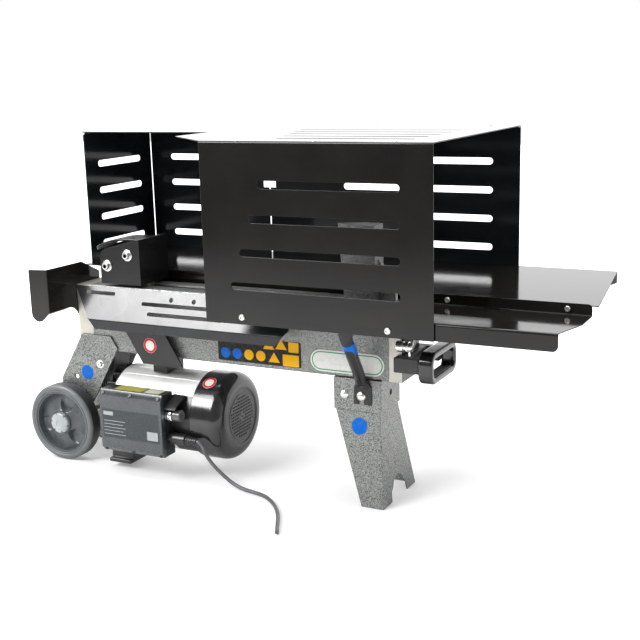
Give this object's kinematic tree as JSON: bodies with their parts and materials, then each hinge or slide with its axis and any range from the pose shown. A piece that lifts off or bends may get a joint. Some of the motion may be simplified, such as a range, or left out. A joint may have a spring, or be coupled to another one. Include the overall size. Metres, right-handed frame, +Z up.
{
  "type": "log splitter",
  "caption": "Small electric hydraulic log splitter: box beam on wheels and a leg, ram driven pusher, fixed wedge, under-slung motor and slotted sheet guard.",
  "frame": {"origin": "on the ground, under the middle of the machine's bounding box", "axes": "+X along the beam from the valve end to the wedge end, -Y towards the operator, +Z up"},
  "size_m": [1.192, 0.5956, 0.6823],
  "materials": {
    "black_sheet": "gloss black powder coat on folded sheet",
    "hammered_paint": "grey hammered enamel",
    "black_steel": "satin black paint on plate",
    "bare_steel": "machined, lightly oiled",
    "polished_rod": "ground and polished",
    "chrome": "chrome plated ring",
    "zinc": "bright zinc plate",
    "cast_alloy": "as cast",
    "motor_alloy": "extruded, ribbed",
    "iron_core": "laminated iron",
    "black_plastic": "moulded, semi-gloss",
    "grey_plastic": "moulded, fine texture",
    "tyre_rubber": "solid rubber tyre",
    "foot_rubber": "moulded rubber",
    "cable_rubber": "rubber cable sheath",
    "hub_plastic": "moulded grey",
    "cap_plastic": "moulded pale grey"
  },
  "bodies": {
    "frame": {"beam": "hammered_paint", "end_block": "bare_steel", "drain_plug": "zinc", "cylinder_tube": "bare_steel", "cylinder_gland": "cast_alloy", "wedge": "hammered_paint", "valve_block": "cast_alloy", "lever_guard": "black_sheet", "hood_front": "black_sheet", "hood_top": "black_sheet", "back_panel_left": "black_sheet", "back_panel_right": "black_sheet", "left_panel": "black_sheet", "rear_top": "black_sheet", "near_table": "black_sheet", "far_table": "black_sheet", "trough_plate": "black_sheet", "motor_body": "motor_alloy", "motor_end_bell": "cast_alloy", "stator_core": "iron_core", "fan_cover": "black_plastic", "pump_housing": "cast_alloy", "motor_saddle": "black_steel", "switch_box": "black_plastic", "switch_box_lid": "grey_plastic", "button_bezel": "chrome", "cable_gland": "black_plastic", "power_cable": "cable_rubber", "motor_foot": "foot_rubber", "wheel_plate_near": "hammered_paint", "wheel_plate_far": "hammered_paint", "axle": "bare_steel", "leg_bracket": "hammered_paint", "leg": "hammered_paint", "leg_bolt_inner": "zinc", "leg_bolt_outer": "zinc", "table_strut": "black_steel", "handle_bracket": "black_plastic", "carry_handle": "black_plastic"},
    "ram": {"ram_slide": "bare_steel", "pusher_box": "black_steel", "pusher_deflector": "black_steel", "pusher_bolt_rear": "zinc", "pusher_bolt_front": "zinc", "piston": "bare_steel", "piston_rod": "polished_rod"},
    "spool": {"valve_spool": "polished_rod"},
    "lever": {"control_lever": "black_steel", "lever_knob": "black_plastic"},
    "motor_shaft": {"rotor": "iron_core", "cooling_fan": "black_plastic", "pump_drive_gear": "polished_rod"},
    "pump_idler": {"pump_driven_gear": "polished_rod"},
    "start_button": {"push_button": "black_plastic"},
    "wheel_near": {"tyre_near": "tyre_rubber", "hub_near": "hub_plastic", "hub_cap_near": "cap_plastic"},
    "wheel_far": {"tyre_far": "tyre_rubber", "hub_far": "hub_plastic", "hub_cap_far": "cap_plastic"}
  },
  "joints": [
    {"name": "ram_travel", "type": "slide", "parent": "frame", "child": "ram", "axis": [1, 0, 0], "range_m": [0, 0.295]},
    {"name": "lever_swing", "type": "hinge", "parent": "frame", "child": "lever", "pos_m": [-0.507, -0.07116, 0.345], "axis": [0, 0, 1], "range_deg": [-18, 0]},
    {"name": "spool_travel", "type": "slide", "parent": "frame", "child": "spool", "axis": [1, 0, 0], "range_m": [0, 0.0051]},
    {"name": "motor_spin", "type": "hinge", "parent": "frame", "child": "motor_shaft", "pos_m": [-0.104, -0.04016, 0.118], "axis": [1, 0, 0], "continuous": true},
    {"name": "idler_spin", "type": "hinge", "parent": "frame", "child": "pump_idler", "pos_m": [-0.104, -0.04016, 0.149], "axis": [1, 0, 0], "continuous": true},
    {"name": "button_press", "type": "slide", "parent": "frame", "child": "start_button", "axis": [-1, 0, 0], "range_m": [0, 0.005]},
    {"name": "wheel_near_spin", "type": "hinge", "parent": "frame", "child": "wheel_near", "pos_m": [-0.514, -0.11116, 0.082], "axis": [0, 1, 0], "continuous": true},
    {"name": "wheel_far_spin", "type": "hinge", "parent": "frame", "child": "wheel_far", "pos_m": [-0.514, 0.03084, 0.082], "axis": [0, 1, 0], "continuous": true}
  ],
  "couplings": [
    {"joint": "spool_travel", "follows": "lever_swing", "m_per_rad": -0.016},
    {"joint": "idler_spin", "follows": "motor_spin", "ratio": -1}
  ]
}
